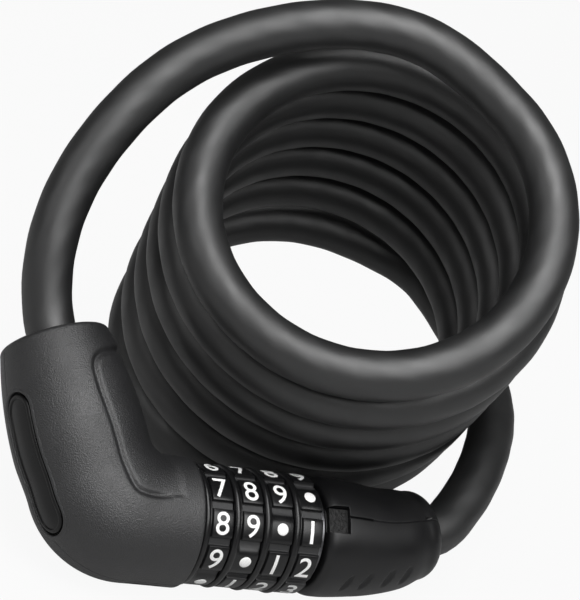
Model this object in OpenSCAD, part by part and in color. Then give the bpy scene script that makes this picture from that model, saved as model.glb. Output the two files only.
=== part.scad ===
// Coiled cable combination lock: an L-shaped lock head with four number dials, a plug that
// slides into it, and a coiled steel cable in a vinyl cover between the two.
//
// Frame: the origin is on the small flat under the lock head, on the ground.
// +X runs along the barrel from the elbow to the plug, +Z is up, and the coil lies behind.

/* [Barrel] */
// Height of the barrel axis above the flat under the head
axis_h = 15; // [14:0.1:16]
// Radius of the housing collar that the dials butt against
housing_r = 15.4; // [15.2:0.1:16]
// Distance from the origin back to the elbow's corner
corner_back = 6; // [4:0.5:9]
// Distance from the origin to the first dial
stack_start = 14.3; // [13:0.1:16]

/* [Elbow] */
// Radius of the bend of the elbow's middle line
elbow_bend = 8; // [6:0.5:10]
// Radius of the leg at its fullest
leg_r = 16.2; // [15.6:0.1:17.5]
// Distance of its fullest place up the leg
leg_full = 17; // [14:0.5:22]
// Radius of the housing at the mouth where the cable goes in
mouth_r = 13.2; // [11:0.1:14]
// Length of the leg from the barrel axis to the mouth
leg_len = 43; // [38:0.5:50]
// Angle by which the leg rises from the ground
leg_rise = 42; // [30:1:55]
// Angle by which the leg leans away from a right angle to the barrel
leg_splay = 15; // [0:1:25]
// Radius of the rounded edge round the mouth
mouth_round = 1.6; // [0.5:0.1:2.5]

/* [Saddle groove] */
// Width of the soft groove that frames the saddle inside the elbow
groove_w = 1.8; // [1:0.1:3]
// Depth of that groove
groove_depth = 0.9; // [0.3:0.1:1.2]
// Distance of the groove from the leg's axis
groove_leg_off = 6.5; // [4:0.5:9]
// Distance of the groove from the barrel's axis
groove_barrel_off = 5.5; // [4:0.5:9]
// Radius of the groove's bend
groove_bend_r = 9; // [6:0.5:12]

/* [Badge] */
// Length of the bare oval insert on the outer side of the leg
badge_len = 35; // [25:0.5:38]
// Width of that insert
badge_w = 8.4; // [6:0.2:11]
// Depth of its recess in the housing
badge_depth = 1.6; // [1:0.1:2.5]
// Gap round the insert
badge_gap = 0.5; // [0.3:0.05:0.9]
// Distance of its centre up the leg
badge_up = 15; // [12:0.5:20]
// Angle round the leg from its front face to the insert
badge_turn = 80; // [70:1:95]

/* [Dials] */
// Distance from one dial to the next
dial_pitch = 7.75; // [7:0.05:8.5]
// Gap between neighbouring dials
dial_gap = 0.25; // [0.15:0.05:0.4]
// Radius of the round rim on each dial
dial_rim_r = 14.6; // [14:0.1:15]
// Width of that rim
dial_rim_w = 1.9; // [1.2:0.1:2.5]
// Radius of the pads that carry the digits
dial_pad_r = 14.2; // [13.5:0.1:14.5]
// Radius of the floor between the pads
dial_floor_r = 13.2; // [12.5:0.1:13.5]
// Width of the gap between two pads, along the rim
dial_notch_w = 2.3; // [1.5:0.1:3]
// Radius of each dial's bore, where its clutch ring sits
dial_bore_r = 11.4; // [10.5:0.1:12]
// Number of digits on each dial
digits = 10; // [10:1:10]

/* [Lock core] */
// Radius of the core tube that the dials turn on
core_r = 8; // [7.5:0.1:9]
// Radius of the bolt
bolt_r = 4.6; // [4:0.1:5]
// Reach of the bolt's teeth from the axis
tooth_r = 9.4; // [9:0.1:10]
// Width of the bolt's teeth
tooth_w = 3.0; // [2.4:0.1:3.6]
// Thickness of each tooth along the barrel
tooth_t = 2.6; // [2:0.1:3]
// Thickness of the lip in each clutch ring that holds a tooth back
lip_t = 2.2; // [1.6:0.1:2.6]
// Angle of the line of teeth, up from the horizontal at the front
index_rise = 33; // [20:1:60]
// Radial clearance of turning and sliding fits
run_fit = 0.05; // [0.02:0.01:0.08]
// Clearance on each side of a tooth in its slot
slot_fit = 0.2; // [0.1:0.05:0.4]
// Thickness of the bright ring that closes the dial stack
end_ring_t = 1.2; // [0.8:0.1:1.6]
// Outer radius of that ring
end_ring_r = 12; // [11.8:0.1:13.8]

/* [Plug] */
// Gap between the end ring and the plug's face
plug_gap = 0.5; // [0.3:0.1:1]
// Largest radius of the plug
plug_r = 14.4; // [13.5:0.1:15]
// Radius of the plug where its tail begins
waist_r = 12.9; // [11.5:0.1:13.5]
// Radius of the plug's tail just before its rounded end
tail_r = 11.2; // [10:0.1:12]
// Distance from the plug's face to the tail's bend
body_len = 18.5; // [16:0.5:22]
// Length of the tail
tail_len = 18; // [15:0.5:22]
// Angle by which the tail bends off the barrel axis
tail_bend = 14; // [0:1:20]
// Radius of the tail's rounded end
tail_round = 5; // [3:0.5:6]
// Angle of the plug's front seam, up from the horizontal
seam_rise = 46; // [35:1:60]
// Length of the window in the plug's front edge
window_len = 5.6; // [4:0.1:7]
// Width of that window
window_w = 6.8; // [5:0.1:8]
// Depth of the insert's face below the plug's surface
insert_sink = 1.5; // [0.8:0.1:2.5]
// Number of slanted grip grooves
grip_count = 4; // [2:1:5]
// Distance between grip grooves
grip_pitch = 5.2; // [4:0.1:6]
// Radius of each grip groove
grip_r = 1.3; // [0.8:0.1:1.6]

/* [Cable] */
// Diameter over the cable's vinyl cover
cable_d = 12; // [10:0.5:12]
// Diameter of the steel rope inside
rope_d = 7; // [5:0.5:8]
// Radius of the ferrules crimped on the rope
ferrule_r = 7.2; // [6.5:0.1:8]
// Length of the ferrule in the head
ferrule_len = 12; // [8:0.5:14]
// Length of the ferrule in the plug
plug_ferrule_len = 8; // [6:0.5:10]
// Clearance of the cable in the housing's mouths
cable_fit = 0.2; // [0.1:0.05:0.4]

/* [Coil] */
// Mean radius of the first turn
coil_r = 44.5; // [42:0.5:48]
// Change of that radius from one turn to the next
coil_grow = -0.35; // [-0.5:0.05:0]
// Rise from one turn to the next along the coil's axis
coil_pitch = 15; // [14.8:0.1:17]
// Turns where the wound part begins and ends, counted from the top
coil_from = 0.36; // [0.36:0.01:0.4]
coil_to = 6.25; // [6.2:0.01:6.3]

/* [Small parts] */
// Radius of the cross pins
pin_r = 1.5; // [1:0.1:2]
// Radius of the housing screws
screw_r = 1.1; // [0.9:0.1:1.4]
// Radius of their heads
screw_head_r = 1.9; // [1.6:0.1:2.2]
// Length of the housing screws
screw_len = 10; // [8:0.5:12]
// Distance of the code-setting slide from the origin
reset_from = 2.6; // [2:0.1:4]
// Length of that slide
reset_len = 5.2; // [4:0.1:6]
// Width of that slide
reset_w = 3.6; // [3:0.1:5]
// Thickness of that slide
reset_t = 2.4; // [1.6:0.1:2.8]
// Depth of its face above the flat
reset_sink = 0.3; // [0.2:0.05:0.6]
// Travel of that slide
reset_travel = 2; // [1:0.1:3]

/* [Hidden] */

$fn = 72;
cut = 0.5;                     // overshoot of a cutting solid
big = 200;                     // larger than the lock

cable_r = cable_d / 2;
rope_r = rope_d / 2;
corner_x = -corner_back;
dial_w = dial_pitch - dial_gap;
stack_end = stack_start + 4 * dial_pitch;
face_x = stack_end + end_ring_t + plug_gap;
bend_x = face_x + body_len;
core_bore_r = bolt_r + run_fit;
core_from = corner_x + 4;
core_flange_r = 10.6;
core_flange_t = 8;
core_pin_in = 3;               // core's cross pin, from the flange's back
bolt_tip_x = core_from + core_flange_t + 3;
bolt_root_x = bend_x - 2;
plug_pin_x = bolt_root_x - 8.5;

// Positions along the leg, from its corner
cable_in = 14;                 // how far the cable goes into the leg
leg_cable_s = leg_len - cable_in;
leg_ferrule_s = leg_cable_s - ferrule_len;
// Positions along the tail, from its bend
tail_ferrule_s = 1.5;
tail_cable_s = tail_ferrule_s + plug_ferrule_len;

// ---------------------------------------------------------------- frames

// Child's +Z runs along the barrel axis from x
module on_axis(x = 0) translate([x, 0, axis_h]) rotate([0, 90, 0]) children();

// Child's +X points out of the barrel, up from the front horizontal by rise
module around(rise, x = 0) on_axis(x) rotate([0, 0, 270 - rise]) children();

// Child's x runs along the barrel, y up the leg's side, z out of the front shell
module in_elbow() translate([corner_x, 0, axis_h]) rotate([leg_rise, 0, 0]) children();

// Child's +Z runs up the leg's axis, +Y out of the rear shell
module in_leg(s = 0)
    in_elbow() rotate([0, 0, leg_splay]) rotate([-90, 0, 0]) translate([0, 0, s]) children();

// Child's x runs along the barrel, y out of the upper plug shell, z out of the front seam
module in_plug(x = 0) translate([x, 0, axis_h]) rotate([90 - seam_rise, 0, 0]) children();

// Child's +Z runs along the plug's tail; only round forms go in here, turned so that the
// line where a round face begins and ends stays clear of the seam
module in_tail(s = 0)
    in_plug(bend_x) rotate([0, 0, tail_bend]) rotate([0, 90, 0]) translate([0, 0, s])
        rotate([0, 0, 25]) children();

// ---------------------------------------------------------------- housing

elbow_turn = 90 - leg_splay;   // angle through which the elbow turns
elbow_at = elbow_bend * tan(elbow_turn / 2);   // where its bend begins and ends
elbow_r = housing_r - 0.05;    // the bend's own radius, clear of the round faces beside it

// The leg's radius at s: level with the bend, fullest at leg_full, then less to the mouth;
// below the bend's end it follows the outer side of the bend
function leg_radius(s) =
    s < elbow_at ? housing_r - pow(elbow_at - s, 2) / 2 / (elbow_bend + housing_r)
    : s < leg_full ? let(u = (s - elbow_at) / (leg_full - elbow_at))
        housing_r + (leg_r - housing_r) * (3 - 2 * u) * u * u
    : leg_r - (leg_r - mouth_r) * pow((s - leg_full) / (leg_len - mouth_round - leg_full), 2);

// Outer form of the housing, made smaller all round by inset
module housing_form(inset = 0) {
    difference() {
        union() {
            on_axis(corner_x + elbow_at)
                cylinder(h = stack_start - dial_gap - corner_x - elbow_at, r = housing_r - inset);
            if (inset == 0)
                elbow_form();
            in_leg() rotate([0, 0, 25]) rotate_extrude() polygon(concat(
                [[0, elbow_at]],
                [for (i = [0:8])
                    let(s = elbow_at + i / 8 * (leg_len - mouth_round - elbow_at))
                    [leg_radius(s) - inset, s]],
                [for (a = [15:15:90])
                    [mouth_r - inset - mouth_round + mouth_round * cos(a),
                     leg_len - mouth_round + mouth_round * sin(a)]],
                [[0, leg_len]]));
        }
        if (inset == 0)
            translate([-big / 2, -big / 2, -big]) cube(big);
    }
}

// The bend between barrel and leg
module elbow_form() {
    top = sqrt(pow(elbow_r, 2) - pow(elbow_bend, 2)) + 0.2;
    out = elbow_bend + elbow_r + 3;
    in_elbow() translate([elbow_at, elbow_bend, 0]) intersection() {
        rotate([0, 0, 40]) rotate_extrude() polygon(concat(
            [[0, -top], [1.2, -top]],
            [for (a = [-114:12:114]) [elbow_bend + elbow_r * cos(a), elbow_r * sin(a)]],
            [[1.2, top], [0, top]]));
        linear_extrude(height = 3 * elbow_r, center = true) polygon(concat(
            [[0.15, 0.15]],
            [for (a = [269 - elbow_turn, 269 - elbow_turn / 2, 271])
                out / cos(elbow_turn / 4) * [cos(a), sin(a)]]));
    }
}

// The leg's surface, made smaller by inset and running on below the corner
module leg_cone(inset)
    in_leg() rotate([0, 0, 25]) rotate_extrude() polygon(concat(
        [[0, -6]],
        [for (s = [-6:4:leg_len - 1]) [leg_radius(s) - inset, s]],
        [[0, 4 * floor((leg_len + 5) / 4) - 6]]));

// One edge of the groove that frames the saddle, off its middle line by w, in the elbow's
// plane: along the barrel, round the bend and up the leg
groove_turn = leg_splay + 2;
groove_up = leg_len - 9 - groove_barrel_off - groove_bend_r;
groove_mid = [groove_leg_off + groove_bend_r + 3, groove_barrel_off + groove_bend_r];
function groove_edge(w) =
    let(r = groove_bend_r + w, top = 180 + groove_turn)
    concat(
        [groove_mid + [4, -r]],
        [for (a = [270:-15:top]) groove_mid + r * [cos(a), sin(a)]],
        [groove_mid + r * [cos(top), sin(top)]
            + (groove_up + w) * [-sin(groove_turn), cos(groove_turn)]]);

// The groove's outline, with the short piece across the leg at its top
module groove_line() {
    outer = groove_edge(groove_w / 2);
    inner = groove_edge(-groove_w / 2);
    across = [cos(groove_turn), sin(groove_turn)];
    end = outer[len(outer) - 1] + 12 * across;
    polygon(concat(
        outer,
        [end, end - groove_w * [-sin(groove_turn), cos(groove_turn)]],
        [for (i = [len(inner) - 1:-1:0]) inner[i]]));
}

module badge_prism(grow = 0)
    in_leg(badge_up) rotate([0, 0, 270 - badge_turn]) rotate([0, 90, 0])
        linear_extrude(height = 30) {
            half = badge_len / 2 - badge_w / 2;
            for (s = [-1, 1]) translate([s * half, 0]) circle(r = badge_w / 2 + grow);
            square([2 * half, badge_w + 2 * grow], center = true);
        }

// Everything that is taken out of the housing
module housing_hollows() {
    // core
    on_axis(core_from) cylinder(h = big, r = core_flange_r);
    // ferrule, rope end and cable
    in_leg(leg_ferrule_s) cylinder(h = ferrule_len, r = ferrule_r);
    in_leg(leg_cable_s) cylinder(h = big, r = cable_r + cable_fit);
    // cross pin
    core_pin_solid();
    // screws
    screw_solids();
    // code-setting slide
    translate([reset_from - slot_fit, -reset_w / 2 - slot_fit, -cut])
        cube([reset_len + reset_travel + 2 * slot_fit, reset_w + 2 * slot_fit,
            reset_sink + reset_t + slot_fit + cut]);
    // badge
    difference() {
        badge_prism(badge_gap);
        leg_cone(badge_depth);
    }
}

module head_shell_front() color([0.13, 0.13, 0.14])
    difference() {
        intersection() {
            housing_form();
            in_elbow() translate([-big / 2, -big / 2, 0]) cube(big);
        }
        housing_hollows();
        // groove round the saddle
        difference() {
            in_elbow() linear_extrude(height = 40) groove_line();
            housing_form(groove_depth);
        }
    }

module head_shell_rear() color([0.12, 0.12, 0.13])
    difference() {
        intersection() {
            housing_form();
            in_elbow() translate([-big / 2, -big / 2, -big]) cube(big);
        }
        housing_hollows();
    }

module badge_insert() color([0.08, 0.08, 0.085])
    difference() {
        intersection() {
            badge_prism();
            leg_cone(0.3);
        }
        leg_cone(badge_depth);
    }

// Screws from the rear shell into the front shell, beside the pockets, in the leg's directions
screw_off = mouth_r - screw_head_r - 1;
screw_at = [[-screw_off, leg_len - 9], [screw_off, leg_len - 9], [-7.5, -2.5]];
screw_head_t = 1.8;

module at_screws()
    for (p = screw_at)
        in_elbow() rotate([0, 0, leg_splay]) translate([p[0], p[1], -screw_len / 2]) children();

// The screws with the holes above their heads
module screw_solids()
    at_screws() {
        cylinder(h = screw_len, r = screw_r, $fn = 32);
        translate([0, 0, -leg_r / 2]) cylinder(h = leg_r / 2 + screw_head_t, r = screw_head_r, $fn = 32);
    }

module shell_screws() color([0.55, 0.55, 0.57])
    at_screws() difference() {
        union() {
            cylinder(h = screw_len, r = screw_r, $fn = 32);
            cylinder(h = screw_head_t, r = screw_head_r, $fn = 32);
        }
        // hexagon socket
        translate([0, 0, -cut]) cylinder(h = 0.6 * screw_head_t + cut, r = screw_head_r / 2, $fn = 6);
    }

// ---------------------------------------------------------------- lock core

spring_bed = 1.3;              // depth of the detent spring's bed in the core
spring_w = 4;
spring_t = 0.5;
finger_r = 1.1;

module tooth_slot(x0, x1)
    around(index_rise, x0)
        translate([0, -tooth_w / 2 - slot_fit, 0])
            cube([tooth_r + slot_fit, tooth_w + 2 * slot_fit, x1 - x0]);

module core_pin_solid()
    in_elbow() translate([core_from + core_pin_in - corner_x, 0, -core_flange_r - 2])
        cylinder(h = 2 * core_flange_r + 4, r = pin_r, $fn = 32);

module lock_core() color([0.62, 0.62, 0.64])
    difference() {
        union() {
            on_axis(core_from) cylinder(h = core_flange_t, r = core_flange_r);
            on_axis(core_from) cylinder(h = stack_end + end_ring_t - core_from, r = core_r);
        }
        on_axis(bolt_tip_x - 1) cylinder(h = big, r = core_bore_r);
        tooth_slot(stack_start - 2, stack_end + end_ring_t + cut);
        core_pin_solid();
        // bed of the detent spring, opposite the teeth
        around(index_rise + 180, stack_start)
            translate([core_r - spring_bed, -spring_w / 2 - slot_fit, 0])
                cube([3, spring_w + 2 * slot_fit, 4 * dial_pitch]);
    }

module core_pin() color([0.6, 0.6, 0.62])
    core_pin_solid();

// A strip with one finger for each dial
module detent_spring() color([0.7, 0.7, 0.72])
    around(index_rise + 180, stack_start) {
        translate([core_r - spring_bed, -spring_w / 2, 0.2])
            cube([spring_t, spring_w, 4 * dial_pitch - 0.4]);
        for (i = [0:3])
            translate([core_r - spring_bed + finger_r + 0.05, 0, (i + 0.45) * dial_pitch])
                rotate([90, 0, 0])
                    cylinder(h = 0.65 * spring_w, r = finger_r, center = true, $fn = 32);
    }

module end_ring() color([0.75, 0.75, 0.77])
    difference() {
        on_axis(stack_end) cylinder(h = end_ring_t, r = end_ring_r);
        on_axis(stack_end - cut) cylinder(h = end_ring_t + 2 * cut, r = core_r);
        tooth_slot(stack_end - cut, stack_end + end_ring_t + cut);
    }

module reset_slide() color([0.1, 0.1, 0.1])
    difference() {
        translate([reset_from, -reset_w / 2, reset_sink]) cube([reset_len, reset_w, reset_t]);
        // finger ridges
        for (i = [1:3])
            translate([reset_from + i * reset_len / 4 - 0.3, -reset_w, reset_sink - cut])
                cube([0.6, 2 * reset_w, 0.4 + cut]);
    }

module head_ferrule() color([0.7, 0.7, 0.71])
    difference() {
        in_leg(leg_ferrule_s) cylinder(h = ferrule_len, r = ferrule_r);
        in_leg(leg_ferrule_s - cut) cylinder(h = ferrule_len + 2 * cut, r = rope_r);
    }

module head_rope_end() color([0.55, 0.55, 0.56])
    in_leg(leg_ferrule_s) cylinder(h = ferrule_len, r = rope_r);

// ---------------------------------------------------------------- dials

// A dial: a round rim on its left and ten raised pads with gaps between them
module dial(i) color([0.07, 0.07, 0.075])
    difference() {
        on_axis(stack_start + i * dial_pitch) rotate_extrude() polygon([
            [dial_bore_r, 0],
            [dial_rim_r - 0.6, 0],
            [dial_rim_r, 0.6],
            [dial_rim_r, dial_rim_w - 0.5],
            [dial_rim_r - 0.5, dial_rim_w],
            [dial_pad_r, dial_rim_w + 0.1],
            [dial_pad_r, dial_w - 0.3],
            [dial_pad_r - 0.3, dial_w],
            [dial_bore_r, dial_w]
        ]);
        for (k = [0:digits - 1])
            around(index_rise + (k + 0.5) * 360 / digits, stack_start + i * dial_pitch)
                translate([dial_floor_r, -dial_notch_w / 2, dial_rim_w + 0.5])
                    cube([4, dial_notch_w, dial_w]);
    }

// A code ring: its lip has one gap, which lets the bolt's tooth out at the right digit
module clutch(i) color([0.72, 0.6, 0.32])
    difference() {
        on_axis(stack_start + i * dial_pitch) cylinder(h = dial_w, r = dial_bore_r);
        on_axis(stack_start + i * dial_pitch - cut)
            cylinder(h = dial_w + 2 * cut, r = core_r + run_fit);
        on_axis(stack_start + i * dial_pitch - cut)
            cylinder(h = dial_w - lip_t + cut, r = tooth_r + 0.5);
        tooth_slot(stack_start + (i + 1) * dial_pitch - dial_gap - lip_t - cut,
            stack_start + (i + 1) * dial_pitch);
    }

// ---------------------------------------------------------------- plug

// Outer form of the plug: a chamfered face, a taper to the waist, and a bent tail
module plug_form() {
    on_axis(face_x) rotate_extrude() polygon([
        [0, 0],
        [plug_r - 1.6, 0],
        [plug_r - 0.4, 1],
        [plug_r, 3],
        [plug_r - 0.3, 8],
        [waist_r, body_len],
        [0, body_len]
    ]);
    in_tail() {
        sphere(r = waist_r + 0.2);
        rotate_extrude() polygon(concat(
            [[0, 0], [waist_r, 0]],
            [for (a = [0:15:90])
                [tail_r - tail_round + tail_round * cos(a),
                 tail_len - tail_round + tail_round * sin(a)]],
            [[0, tail_len]]));
    }
}

// The space above the plug's seam, which follows the tail's bend, and the space below it
module above_seam()
    in_plug() linear_extrude(height = big, center = true)
        polygon([[face_x - 10, 0], [bend_x, 0], [bend_x + 40, 40 * tan(tail_bend)],
            [bend_x + 40, 60], [face_x - 10, 60]]);

module below_seam()
    in_plug() linear_extrude(height = big, center = true)
        polygon([[face_x - 10, -60], [bend_x + 40, -60], [bend_x + 40, 40 * tan(tail_bend)],
            [bend_x, 0], [face_x - 10, 0]]);

module plug_hollows() {
    on_axis(face_x - cut) cylinder(h = bolt_root_x - face_x + cut, r = bolt_r);
    in_tail(tail_ferrule_s) cylinder(h = plug_ferrule_len, r = ferrule_r);
    in_tail(tail_cable_s) cylinder(h = big, r = cable_r + cable_fit);
    plug_pin_solid();
    // window in the front edge
    in_plug(face_x) translate([-cut, -window_w / 2, 8.5]) cube([window_len + cut, window_w, 10]);
    // grip grooves
    for (k = [0:grip_count - 1])
        around(-38, face_x + 5.5 + k * grip_pitch)
            translate([plug_r + grip_r - 0.9 - 0.17 * k, 0, 0]) rotate([90, 0, 0]) rotate([0, 35, 0])
                cylinder(h = 8, r = grip_r, center = true, $fn = 32);
}

module plug_shell_upper() color([0.1, 0.1, 0.105])
    difference() {
        intersection() {
            plug_form();
            above_seam();
        }
        plug_hollows();
    }

module plug_shell_lower() color([0.1, 0.1, 0.105])
    difference() {
        intersection() {
            plug_form();
            below_seam();
        }
        plug_hollows();
    }

module plug_insert() color([0.05, 0.05, 0.05])
    in_plug(face_x)
        translate([0.3, -window_w / 2, 8.5]) cube([window_len - 0.3, window_w, plug_r - insert_sink - 8.5]);

plug_pin_half = 0.7 * plug_r;

// The plug's cross pin, square to its seam
module plug_pin_solid()
    in_plug(plug_pin_x) rotate([-90, 0, 0]) translate([0, 0, -plug_pin_half])
        cylinder(h = 2 * plug_pin_half, r = pin_r, $fn = 32);

module plug_pin() color([0.6, 0.6, 0.62])
    plug_pin_solid();

// The bolt: a round bar with one tooth for each clutch ring, each behind its ring's lip
module plug_bolt() color([0.78, 0.78, 0.8])
    difference() {
        union() {
            on_axis(bolt_tip_x + 1) cylinder(h = bolt_root_x - bolt_tip_x - 1, r = bolt_r);
            on_axis(bolt_tip_x) cylinder(h = 1, r1 = bolt_r - 1, r2 = bolt_r);
            for (i = [0:3])
                around(index_rise, stack_start + i * dial_pitch + 0.9)
                    translate([0, -tooth_w / 2, 0]) cube([tooth_r, tooth_w, tooth_t]);
        }
        plug_pin_solid();
    }

module plug_ferrule() color([0.7, 0.7, 0.71])
    difference() {
        in_tail(tail_ferrule_s) cylinder(h = plug_ferrule_len, r = ferrule_r);
        in_tail(tail_ferrule_s - cut) cylinder(h = plug_ferrule_len + 2 * cut, r = rope_r);
    }

module plug_rope_end() color([0.55, 0.55, 0.56])
    in_tail(tail_ferrule_s) cylinder(h = plug_ferrule_len, r = rope_r);

// ---------------------------------------------------------------- cable

loop_rings = 24;               // rings round each loop of the coil
loop_sides = 6;
lead_sides = 10;
lead_gap = 0.3;                // between the coil's end and the lead that moves with the plug
coil_at = [47.5, 17, 98.7];    // centre of the coil's first turn
coil_turn = [36, -18, 0];      // how the coil leans back from upright
coil_phase = 153.6;
coil_lean = [0.2, 1.0];        // sideways shift of each turn
coil_bow = [-0.14, -0.09];     // growth of that shift
entry_in = 14;                 // how far the coil starts inside its first turn, fading quickly
entry_fade = 0.4;
entry_tip = [9.6, 1.6];        // tip of the first turn, fading
exit_in = -0.36;
exit_tip = [4.3, -4.8];        // tip of the last turn, fading backwards
tip_fade = 0.8;
last_turn = 6;

function turn_x(v, a) = [v[0], v[1] * cos(a) - v[2] * sin(a), v[1] * sin(a) + v[2] * cos(a)];
function turn_y(v, a) = [v[0] * cos(a) + v[2] * sin(a), v[1], -v[0] * sin(a) + v[2] * cos(a)];
function lean_back(v) = turn_y(turn_x(v, coil_turn[0]), coil_turn[1]);
function unit(v) = v / norm(v);

// A point on the coil's centre line, t turns from the top
function coil_local(t) =
    let(a = coil_phase - 360 * t,
        entry = exp(-t / tip_fade),
        leave = exp((t - last_turn) / tip_fade),
        r = coil_r + coil_grow * t - entry_in * exp(-t / entry_fade)
            + exit_in * exp((t - last_turn) / entry_fade))
    [coil_lean[0] * t + coil_bow[0] * t * t + r * cos(a),
     coil_lean[1] * t + coil_bow[1] * t * t + r * sin(a),
     -coil_pitch * t + entry * (entry_tip[0] * cos(a) + entry_tip[1] * sin(a))
        + leave * (exit_tip[0] * cos(a) + exit_tip[1] * sin(a))];
function coil_point(t) = coil_at + lean_back(coil_local(t));
function coil_dir(t) = unit(coil_point(t + 0.001) - coil_point(t - 0.001));

coil_steps = round((coil_to - coil_from) * loop_rings);
coil_axis = lean_back([0, 0, 1]);
head_dir = coil_dir(coil_from);
plug_dir = coil_dir(coil_to);
coil_head_end = coil_point(coil_from) - cable_d * head_dir;
coil_plug_end = coil_point(coil_to) + cable_d * plug_dir;
coil_line = concat(
    [coil_head_end],
    [for (i = [0:coil_steps]) coil_point(coil_from + (coil_to - coil_from) * i / coil_steps)],
    [coil_plug_end]);

// A point s along the leg's axis, and one along the plug's tail
leg_dir = [-sin(leg_splay), cos(leg_splay) * cos(leg_rise), cos(leg_splay) * sin(leg_rise)];
function leg_point(s) = [corner_x, 0, axis_h] + s * leg_dir;
tail_dir = [cos(tail_bend), sin(tail_bend) * sin(seam_rise), sin(tail_bend) * cos(seam_rise)];
function tail_point(s) = [bend_x, 0, axis_h] + s * tail_dir;

// Route of the cable from the head's mouth up and over to the coil
head_route = [[-19, 37, 51], [-20, 42, 61], [-17, 48, 75], [-9, 53, 91], [4, 57, 106],
    [23, 56, 119], [41, 52, 126], [57, 46, 127.5]];
head_line = concat([leg_point(leg_cable_s), leg_point(leg_len + 1)], head_route,
    [coil_head_end - 0.05 * head_dir]);

// Route of the cable from the coil down to the plug
plug_route = [[98.5, 97.5, 50.5], [104.5, 92.5, 48.5], [110.5, 80, 45], [113.5, 69.5, 39],
    [116.5, 54, 35], [112.5, 41, 31.5], [105, 27, 31], [99, 17, 27.5], [94, 12, 24],
    [90.5, 7.5, 21]];
plug_line = concat([coil_plug_end + lead_gap * plug_dir], plug_route,
    [tail_point(tail_len + 1), tail_point(tail_cable_s)]);

// Closed tube along a line of points, its rings square to the line's mean direction;
// from and to, where given, are the directions at its two ends
module tube(line, r, sides, side_dir, from = undef, to = undef) {
    n = len(line);
    dirs = [for (i = [0:n - 1])
        i == 0 && from != undef ? from
        : i == n - 1 && to != undef ? to
        : unit(line[min(i + 1, n - 1)] - line[max(i - 1, 0)])];
    rings = [for (i = [0:n - 1])
        let(u = unit(cross(dirs[i], side_dir)), v = cross(dirs[i], u))
        for (k = [0:sides - 1])
            line[i] + r * (cos(360 * k / sides) * u + sin(360 * k / sides) * v)];
    walls = [for (i = [0:n - 2], k = [0:sides - 1])
        let(a = i * sides + k, b = i * sides + (k + 1) % sides)
        each [[a, b, a + sides], [b, b + sides, a + sides]]];
    caps = [for (k = [1:sides - 2])
        each [[0, k + 1, k], [(n - 1) * sides, (n - 1) * sides + k, (n - 1) * sides + k + 1]]];
    polyhedron(points = rings, faces = concat(walls, caps), convexity = 10);
}

module head_lead() color([0.16, 0.16, 0.165])
    tube(head_line, cable_r, lead_sides, coil_axis, to = head_dir);

module cable_coil() color([0.16, 0.16, 0.165])
    tube(coil_line, cable_r, loop_sides, coil_axis, from = head_dir, to = plug_dir);

module plug_lead() color([0.16, 0.16, 0.165])
    tube(plug_line, cable_r, lead_sides, coil_axis, from = plug_dir);

// Least gap of the coil to itself, measured from each point to the turn after it
coil_gap = min([for (i = [0:3:coil_steps - loop_rings + 2], k = [-3:0.5:3])
    let(t = coil_from + (coil_to - coil_from) * i / coil_steps)
    norm(coil_point(t) - coil_point(t + 1 + k / loop_rings))]) - cable_d;
echo(str("least gap of the coil to itself: ", coil_gap, " mm"));

// ---------------------------------------------------------------- nodes

head_shell_front();
head_shell_rear();
badge_insert();
shell_screws();
lock_core();
core_pin();
detent_spring();
end_ring();
reset_slide();
head_ferrule();
head_rope_end();
dial(0);  // dial_1
dial(1);  // dial_2
dial(2);  // dial_3
dial(3);  // dial_4
clutch(0);  // clutch_1
clutch(1);  // clutch_2
clutch(2);  // clutch_3
clutch(3);  // clutch_4
plug_bolt();
plug_shell_upper();
plug_shell_lower();
plug_insert();
plug_pin();
plug_ferrule();
plug_rope_end();
head_lead();
cable_coil();
plug_lead();
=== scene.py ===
"""Coiled cable combination lock: looks, cables, digits, light and camera."""
from math import cos, exp, pi, radians, sin, tan

import bmesh
import bpy
import numpy as np
from mathutils import Matrix, Vector


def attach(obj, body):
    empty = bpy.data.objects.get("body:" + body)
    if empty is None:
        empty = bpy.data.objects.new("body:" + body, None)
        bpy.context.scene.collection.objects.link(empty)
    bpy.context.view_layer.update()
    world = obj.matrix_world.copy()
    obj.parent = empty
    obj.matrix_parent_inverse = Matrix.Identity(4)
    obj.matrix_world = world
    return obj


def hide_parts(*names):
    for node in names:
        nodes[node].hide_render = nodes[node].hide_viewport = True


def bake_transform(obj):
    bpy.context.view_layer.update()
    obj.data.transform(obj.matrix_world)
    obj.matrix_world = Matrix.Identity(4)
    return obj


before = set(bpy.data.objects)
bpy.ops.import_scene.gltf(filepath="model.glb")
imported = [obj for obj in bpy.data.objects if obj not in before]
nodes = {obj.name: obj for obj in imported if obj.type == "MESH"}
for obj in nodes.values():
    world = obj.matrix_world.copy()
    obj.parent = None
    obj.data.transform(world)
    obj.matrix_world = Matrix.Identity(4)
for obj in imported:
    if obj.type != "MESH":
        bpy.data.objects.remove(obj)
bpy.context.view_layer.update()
MM = 0.001


def vec(*p):
    return np.array(p, float)


def unit(v):
    return v / np.linalg.norm(v)


# ---------------------------------------------------------------- sizes, mm

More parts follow.
